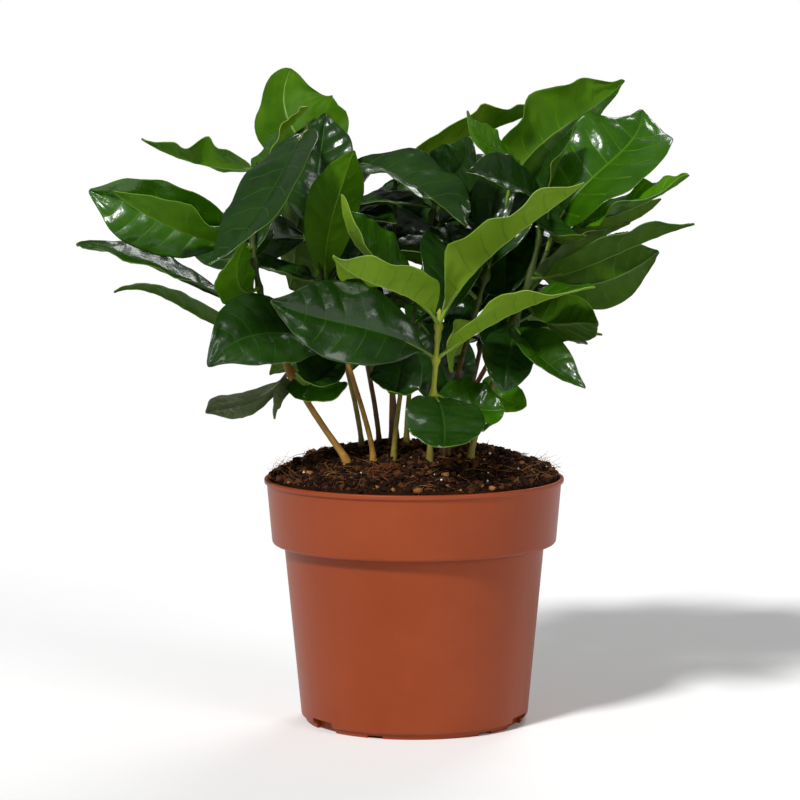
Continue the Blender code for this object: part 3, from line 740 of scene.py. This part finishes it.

# leaves listed by seedling: tone, height on the axis, tip (x, y, z), width, how far
# the midrib bows up near its base and near its tip, its sweep to the left, then degrees of
# roll, twist along the blade and fold at the midrib
setLeaves = {
    "01": (
        ("young", 221, (-110, 27, 233), 22, -2, -8, -14, 35, -20, 24),
        ("mid", 195, (-128, -8, 213), 33, -2, 0, 3, -102, -14, 24),
        ("young", 190, (-114, -52, 214), 30, -3, -6, 5, 10, 0, 18),
        # the next two leaves take the darker tone of painted shade
        ("shade", 166, (-133, -10, 192), 42, -1, 6, 6, 0, -30, 6),
        ("shade", 162, (-117, -25, 174), 23, -12, 10, 4, 10, 0, 14),
        ("young", 175, (-64, -52, 196), 21, -10, -4, -6, 55, 0, 6),
        ("dry", 143, (-80, -48, 129), 17, -9, -3, -6, -20, -40, 6),
        ("dry", 140, (-54, -45, 126), 14, -3, 6, 0, 75, 0, 14),
        ("mid", 141, (-26, -34, 139), 21, -2, -4, -4, 30, -10, 6),
    ),
    "02": (
        ("dark", 192, (-35, 14, 243), 30, 13, 2, 0, 5, 35, 20),
        ("dark", 236, (-77, -71, 187), 32, 14, 1, 10, 15, -5, 10),
        ("dark", 214, (-50, 26, 172), 32, 8, -2, 0, 70, 0, 14),
        ("dark", 193, (-96, 48, 192), 26, 2, -4, 0, -75, 0, 14),
    ),
    "03": (
        ("dark", 156, (-78, -64, 148), 35, 2, 13, 1, -45, -40, 10),
        ("young", 172, (-23, -38, 229), 24, 12, 3, 0, -25, 5, 28),
        ("dark", 177, (-78, 6, 185), 20, -1, 2, -2, -5, -10, 16),
        ("dark", 148, (-45, -58, 145), 22, 0, -10, -2, -25, -30, 26),
    ),
    "04": (
        ("young", 214, (-49, 27, 261), 42, 1, -13, 5, 95, 5, 16),
        ("dark", 222, (20, -42, 200), 32, 10, 0, 5, 10, -30, 18),
    ),
    "05": (
        ("mid", 220, (55, 32, 246), 29, 3, -1, 4, -25, 10, 20),
    ),
    "06": (
        ("mid", 180, (-27, -65, 213), 28, -5, -14, -2, -60, 10, 30),
        ("dark", 151, (-10, -46, 137), 22, 5, -10, 0, 5, -50, 12),
    ),
    "07": (
        ("dark", 203, (21, -9, 234), 26, 7, -9, 1, 105, -20, 12),
        ("dark", 160, (20, 0, 128), 28, 4, -4, 0, 60, 0, 14),
    ),
    "08": (
        ("dark", 148, (-54, -66, 173), 33, 6, -2, -2, -75, -10, 8),
        ("mid", 161, (-30, -90, 191), 29, 8, -5, 2, 15, 10, 26),
        ("mid", 161, (64, -62, 217), 31, 9, 2, -1, -5, 10, 26),
        ("dark", 157, (14, 10, 198), 28, 15, 7, -4, 10, -15, 22),
        ("mid", 148, (68, -66, 178), 27, 4, 5, -1, 0, 20, 14),
        ("dark", 133, (11, -62, 117), 31, 6, -3, 2, -5, 25, 8),
        ("mid", 135, (35, -30, 128), 25, -2, -3, 3, 45, 25, 18),
    ),
    "09": (
        ("young", 205, (85, 20, 256), 35, 13, -1, 3, -68, 30, 16),
        ("young", 223, (21, -28, 244), 16, 1, -10, 0, -75, -25, 10),
        ("mid", 165, (15, -24, 142), 18, -7, 7, -2, 70, 0, 12),
    ),
    "10": (
        ("young", 199, (107, -25, 219), 28, -4, -4, -1, 25, -10, 18),
        ("dark", 193, (101, 32, 208), 19, -2, -6, 0, -55, 10, 30),
        ("mid", 187, (93, 30, 244), 44, 19, -2, -14, 30, 25, 12),
    ),
    "11": (
        ("young", 131, (44, -18, 128), 17, 5, 0, 8, 60, 10, 10),
        ("dark", 161, (35, -39, 136), 21, 0, 5, 0, -25, 0, 6),
        # the next four leaves take the darker tone of painted shade
        ("shade", 160, (65, -58, 139), 20, 3, 0, -6, 15, 5, 32),
        ("shade", 172, (70, -56, 163), 24, -11, 0, -1, -70, -10, 30),
        ("shade", 181, (99, 18, 187), 24, -12, -2, -8, -85, 5, 10),
        ("shade", 178, (109, -28, 200), 24, -4, 2, -4, -15, 15, 20),
        ("dark", 207, (20, -59, 221), 22, 2, 2, 1, -55, 0, 26),
        ("dark", 211, (65, -58, 197), 19, -11, -8, -4, -15, 30, 20),
    ),
    "12": (
        ("dark", 200, (36, 2, 170), 30, 6, 0, 0, 20, 0, 14),
        ("dark", 165, (43, 0, 140), 24, 3, -3, 0, 10, 0, 14),
    ),
    "13": (
        ("dark", 206, (12, 24, 196), 30, 6, 0, 0, 40, 0, 14),
        ("dark", 170, (-48, 40, 184), 26, 4, 2, 0, 60, 0, 14),
    ),
}

# leaves grown by rule: whorls down each axis, two opposite leaves to a whorl, each whorl
# turned a quarter from the last
grown = {
    "seed": 11, "whorlStep": 9.0, "whorls": 9, "lengths": (66.0, 86.0), "slender": 0.42,
    "topRise": 62.0, "riseStep": 8.0, "lowestRise": 4.0,
    "turnTries": (0.0, 24.0, -24.0, 48.0, -48.0, 72.0, -72.0, 96.0, -96.0),
    "riseTries": (0.0, -16.0, 16.0, 34.0), "lengthTries": (1.0, 0.82, 0.64),
    # smaller leaves that fill the room between them
    "innerStep": 5.0, "innerLengths": (30.0, 56.0), "innerRises": (-35.0, 40.0), "innerTries": 10,
    # the crown's outline from the front as (x, z), its depth, and where the sky shows through
    "skyline": ((-80, 196), (-66, 224), (-56, 250), (-30, 244), (-16, 226), (2, 224), (24, 230),
                (44, 242), (76, 240), (92, 206)),
    "baseline": ((-80, 180), (-64, 140), (-56, 130), (46, 130), (66, 138), (92, 176)),
    "depth": (-18.0, 116.0), "skyGaps": ((-57, 177, 9), (23, 232, 8)),
}


def halfWidth(share, width, length):
    blade = (share - leafShape["stalkShare"]) / (1 - leafShape["stalkShare"])
    power = leafShape["seedPower"] if width > leafShape["seedBreadth"] * length else leafShape["power"]
    full = 0.0
    if 0 < blade < 1:
        full = width / 2 * math.sin(math.pi * blade ** leafShape["widestSkew"]) ** power
    least = leafShape["stalkWidth"] if share < 0.97 else leafShape["tipWidth"]
    return max(full, least / 2)


def leafFrame(base, row):
    _, tip, _, bowNear, bowFar, sweep, roll, twist, _ = row
    tip = Vector(tip)
    chord = tip - base
    level = Vector((chord.x, chord.y, 0)).normalized()
    side = Vector((-level.y, level.x, 0))
    rise = chord.cross(side).normalized()
    near = base + chord * 0.3 + (rise * bowNear + side * sweep) * leafShape["bowReach"]
    far = base + chord * 0.7 + (rise * bowFar + side * sweep) * leafShape["bowReach"]

    def frameAt(share):
        place = bend3(base, near, far, tip, share)
        ahead = bend3(base, near, far, tip, min(1.0, share + 0.001))
        behind = bend3(base, near, far, tip, max(0.0, share - 0.001))
        along = (ahead - behind).normalized()
        across = (side - along * side.dot(along)).normalized()
        turn = math.radians(roll + twist * (share - 0.5))
        across = across * math.cos(turn) + along.cross(across) * math.sin(turn)
        return place, across, along.cross(across)

    return frameAt


def plainBlade(base, row, steps, start):
    # the frame's simple blade, a little thicker and wider, for the clearance test
    frameAt = leafFrame(base, row)
    width, fold = row[2], math.radians(row[8])
    length = (Vector(row[1]) - base).length
    thickness = leafShape["solidThickness"] + leafShape["testMargin"]
    bm = bmesh.new()
    bmesh.ops.create_grid(bm, x_segments=steps, y_segments=2, size=0.5)
    for vert in bm.verts:
        share = start + (1 - start) * (vert.co.x + 0.5)
        place, across, upward = frameAt(share)
        out = vert.co.y * 2 * (halfWidth(share, width, length) + leafShape["testMargin"] / 2)
        lift = abs(out) * math.sin(fold) + thickness / 2
        vert.co = place + across * out * math.cos(fold) + upward * lift
    bmesh.ops.recalc_face_normals(bm, faces=bm.faces)
    bmesh.ops.solidify(bm, geom=bm.faces[:], thickness=thickness)
    bmesh.ops.recalc_face_normals(bm, faces=bm.faces)
    return bm


def leafBase(name, height):
    curve = seedlingCurve(name)
    return bend3(*curve, shareAtHeight(curve, height))


def between(line, x):
    for (x0, z0), (x1, z1) in zip(line, line[1:]):
        if x0 <= x <= x1:
            return z0 + (z1 - z0) * (x - x0) / (x1 - x0)
    return None


def insideCrown(bm):
    for vert in bm.verts:
        x, y, z = vert.co
        top, bottom = between(grown["skyline"], x), between(grown["baseline"], x)
        if top is None or not bottom < z < top:
            return False
        if not grown["depth"][0] < y < grown["depth"][1]:
            return False
        if any(math.hypot(x - gx, z - gz) < reach for gx, gz, reach in grown["skyGaps"]):
            return False
    return True


def grownRow(base, height, levelTurn, rise, length, values):
    bend, lean, wring = values
    out = Vector((math.cos(levelTurn), math.sin(levelTurn), 0))
    chordRise = math.radians(rise - 12.0)
    tip = base + (out * math.cos(chordRise) + skyward * math.sin(chordRise)) * length
    bow = length * 0.11
    return (height, tuple(tip), length * grown["slender"], bow, bow * 0.6, bend * length * 0.06,
            lean * 25.0, wring * 20.0, 14.0)


def grownCandidates(name, rng):
    row = seedlings[name]
    firstTurn = rng.uniform(0, 180)
    for whorl in range(grown["whorls"]):
        height = row["top"][2] - 3.0 - whorl * grown["whorlStep"]
        for half in (0.0, 180.0):
            turn = firstTurn + 90.0 * whorl + half + rng.uniform(-14, 14)
            length = rng.uniform(*grown["lengths"]) * (0.8 if whorl == 0 else 1.0)
            rise = grown["topRise"] - grown["riseStep"] * whorl + rng.uniform(-9, 9)
            rise = max(grown["lowestRise"], rise)
            values = tuple(rng.uniform(-1, 1) for _ in range(3))
            if height > row["leafy"] + 3.0:
                yield whorl, height, turn, rise, length, values


def touches(tree, others):
    return any(tree.overlap(other) for other in others)


def chooseLeaves():
    # the set leaves that keep clear, then the grown ones, just as the frame's masses have them
    axes = {name: axisTree(name) for name in seedlings}
    solids = [nodeTree("soil"), nodeTree("pot")]
    solids += [nodeTree(f"seedling_{name}_stem") for name in seedlings]
    chosen = {name: [] for name in seedlings}
    placed = []

    def keep(name, base, row, steps, tone):
        whole, blade = (BVHTree.FromBMesh(plainBlade(base, row, steps, start))
                        for start in (0.0, leafShape["clearFrom"]))
        rivals = [tree for other, tree, _ in placed if other != name]
        rivals += [tree for other, tree in axes.items() if other != name] + solids
        kin = [tree for other, _, tree in placed if other == name]
        if touches(whole, rivals) or touches(blade, kin):
            return False
        placed.append((name, whole, blade))
        chosen[name].append((base, row, tone))
        return True

    def keepInside(name, base, row, tone):
        steps = leafShape["grownSteps"]
        return (insideCrown(plainBlade(base, row, steps, leafShape["clearFrom"]))
                and keep(name, base, row, steps, tone))

    for name, rows in setLeaves.items():
        for tone, *row in rows:
            keep(name, leafBase(name, row[0]), tuple(row), leafShape["setSteps"], tone)
    print("set leaves:", len(placed))
    rng = random.Random(grown["seed"])
    for name in seedlings:
        for whorl, height, turn, rise, length, values in grownCandidates(name, rng):
            base = leafBase(name, height)
            tone = ("young", "mid", "dark")[min(whorl, 2)]
            for shorter, higher, extra in product(
                    grown["lengthTries"], grown["riseTries"], grown["turnTries"]):
                row = grownRow(base, height, math.radians(turn + extra), rise + higher,
                               length * shorter, values)
                if keepInside(name, base, row, tone):
                    break
    print("with the grown ones:", len(placed))
    for name, row in seedlings.items():
        for step in range(int((row["top"][2] - row["leafy"] - 12) / grown["innerStep"])):
            height = row["leafy"] + 5 + step * grown["innerStep"]
            base = leafBase(name, height)
            for _ in range(grown["innerTries"]):
                leaf = grownRow(base, height, rng.uniform(0, math.tau), rng.uniform(*grown["innerRises"]),
                                rng.uniform(*grown["innerLengths"]), [rng.uniform(-1, 1) for _ in range(3)])
                keepInside(name, base, leaf, "dark")
    print("all leaves:", len(placed))
    return chosen


def leafRows():
    # places along the blade in veins: each vein is a narrow strip with rows between
    veins, half = leafRelief["veins"], leafRelief["veinHalf"]
    rows = [0.0, *leafRelief["between"], 1 - half]
    for vein in range(1, veins + 1):
        rows += [vein + half, *(vein + place for place in leafRelief["between"]), vein + 1 - half]
    return rows[:-1] + [veins + 0.9, veins + 1.0]


def leafBlade(base, row, tone, seed):
    # the real blade: quilted between its side veins, waved at its margin, ribbed beneath
    rng = random.Random(seed)
    frameAt = leafFrame(base, row)
    width, fold = row[2], math.radians(row[8])
    length = (Vector(row[1]) - base).length
    seedLeaf = width > leafShape["seedBreadth"] * length
    rows, veins = leafRows(), leafRelief["veins"]
    columns = leafRelief["columns"]
    columns = [-c for c in reversed(columns)] + [0.0] + list(columns)
    drift = Vector([rng.uniform(0, 60) for _ in range(3)])
    waves = rng.uniform(*leafRelief["waves"])
    waveHeight = 2.2 * width * tone["wave"] * rng.uniform(*leafRelief["waveSpread"])
    quilt = width * leafRelief["quilt"] * (leafRelief["seedQuilt"] if seedLeaf else 1.0)
    pucker = width * leafRelief["pucker"]
    puckersAlong, puckersAcross = leafRelief["puckers"]
    lastRow, lastColumn = len(rows) - 1, len(columns) - 1
    start = leafShape["stalkShare"] * 0.8

    def uneven(x, y, z=0):
        return noise.noise(drift + Vector((x, y, z)))

    bm = bmesh.new()
    bmesh.ops.create_grid(bm, x_segments=lastRow, y_segments=lastColumn, size=0.5)
    raised = bmesh.ops.extrude_face_region(bm, geom=bm.faces[:], use_keep_orig=True)["geom"]
    upper = {vert for vert in raised if isinstance(vert, bmesh.types.BMVert)}
    for face in bm.faces:
        middle = face.calc_center_median()
        alongRow = rows[min(lastRow - 1, int((middle.x + 0.5) * lastRow))]
        acrossLeaf = abs(middle.y) * 2
        inUpper = sum(vert in upper for vert in face.verts)
        onLateral = (alongRow % 1 > 0.9 and alongRow < veins and acrossLeaf < leafRelief["veinReach"]
                     and not seedLeaf)
        onMidrib = acrossLeaf < 1.2 / lastColumn
        if inUpper == 4:
            kind = "vein" if onMidrib or onLateral else "top"
        # the rim between top and underside takes the light vein colour, standing for a lit edge: painted
        # highlight
        elif inUpper:
            kind = "underVein"
        else:
            kind = "underVein" if onMidrib else "underLine" if onLateral else "under"
        face.material_index = leafParts.index(kind)
    for vert in bm.verts:
        p = rows[round((vert.co.x + 0.5) * lastRow)]
        v = columns[round((vert.co.y + 0.5) * lastColumn)]
        out, side = abs(v), (1 if v > 0 else 0)
        straight = p / (veins + 1)
        blade = straight + leafRelief["forward"] * math.sin(math.pi * straight) * out ** 1.5
        share = start + (1 - start) * blade
        half = halfWidth(share, width, length)
        if not seedLeaf:
            half *= 1 - leafRelief["tipPinch"] * smooth(0.74, 0.96, blade) * (1 - smooth(0.97, 1.0, blade))
        place, across, upward = frameAt(share)
        swell = math.sin(math.pi * min(1.0, max(0.0, blade))) ** 0.5
        half *= 1 + tone["scallop"] * uneven(blade * waves * 2.6, 40 + side * 9)
        spread = smooth(0.02, 0.3, out) * (1 - 0.5 * smooth(0.75, 1, out))
        cushion = 0.65 + 0.9 * uneven(math.floor(p) * 1.7, side * 9)
        height = quilt * cushion * (math.sin(math.pi * (p % 1)) ** 0.7) * spread * swell
        height += pucker * uneven(blade * puckersAlong, v * puckersAcross, 5) * spread
        height -= leafRelief["groove"] * math.exp(-(out / leafRelief["grooveReach"]) ** 2) * swell
        height += half * math.sin(fold) * (out * (1 + leafRelief["arch"]) - leafRelief["arch"] * out ** 2)
        height += waveHeight * uneven(blade * waves * 1.5, 20 + side * 9) * out ** 1.8 * swell
        if vert not in upper:
            height -= leafRelief["thickness"]
            nearVein = min(p % 1, 1 - p % 1) < leafRelief["veinHalf"] * 1.5
            ribTaper = 1 - 0.75 * blade
            height -= leafRelief["rib"] * ribTaper * math.exp(-(out / leafRelief["ribReach"]) ** 2)
            height -= leafRelief["veinRib"] * nearVein * swell * (1 - out)
        vert.co = place + across * (v * half * math.cos(fold)) + upward * height
    bmesh.ops.recalc_face_normals(bm, faces=bm.faces)
    return bm


def leafStalk(base, row):
    frameAt = leafFrame(base, row)
    reach = leafShape["stalkShare"] * 1.9

    def stalkFrame(share):
        place, across, upward = frameAt(share * reach)
        return place - upward * 0.25 * share, across, upward

    bm = rollTube(stalkFrame, lambda share, _: 0.95 - 0.45 * share, 9, 8)
    for face in bm.faces:
        face.material_index = leafParts.index("underVein")
    return bm


def toneFinishes(name):
    tone = tones[name]
    common = {"patchScale": 70.0, "cellScale": 620.0, "glow": tone["glow"], "glowShare": leafGlow}
    looks = {
        "top": {"patch": tone["topPatch"], "rough": tone["rough"], "bump": 0.4, "depth": 0.0003,
                "coat": tone["coat"], "coatRough": 0.34, "specular": 0.45},
        "vein": {"patch": tone["topPatch"], "rough": (0.3, 0.4), "bump": 0.1, "coat": 0.1, "specular": 0.4},
        "under": {"patch": tone["underPatch"], "rough": (0.5, 0.65), "bump": 0.3, "specular": 0.12},
        "underVein": {"patch": tone["underPatch"], "rough": (0.4, 0.5), "bump": 0.1},
        "underLine": {"patch": tone["under"], "rough": (0.5, 0.65), "bump": 0.1, "specular": 0.12},
    }
    return [surface(f"{name}Leaf{part[0].upper()}{part[1:]}",
                    {**common, "colour": tone[part], **looks[part]}) for part in leafParts]


def makePlants():
    finishes = [finish for name in tones for finish in toneFinishes(name)]
    toneOrder = list(tones)
    barks = stemFinishes()
    for name, rows in chooseLeaves().items():
        parts = []
        for index, (base, row, tone) in enumerate(rows):
            for part in (leafBlade(base, row, tones[tone], f"{name}-{index}"), leafStalk(base, row)):
                for face in part.faces:
                    face.material_index += len(leafParts) * toneOrder.index(tone)
                parts.append(part)
        finished(f"leaves_{name}", together(parts), finishes, "foliage", f"seedling_{name}_foliage")
        makeShoot(name, [row[0] for _, row, _ in rows], barks)
        print("seedling", name, "grown with", len(rows), "leaves")


makePlants()
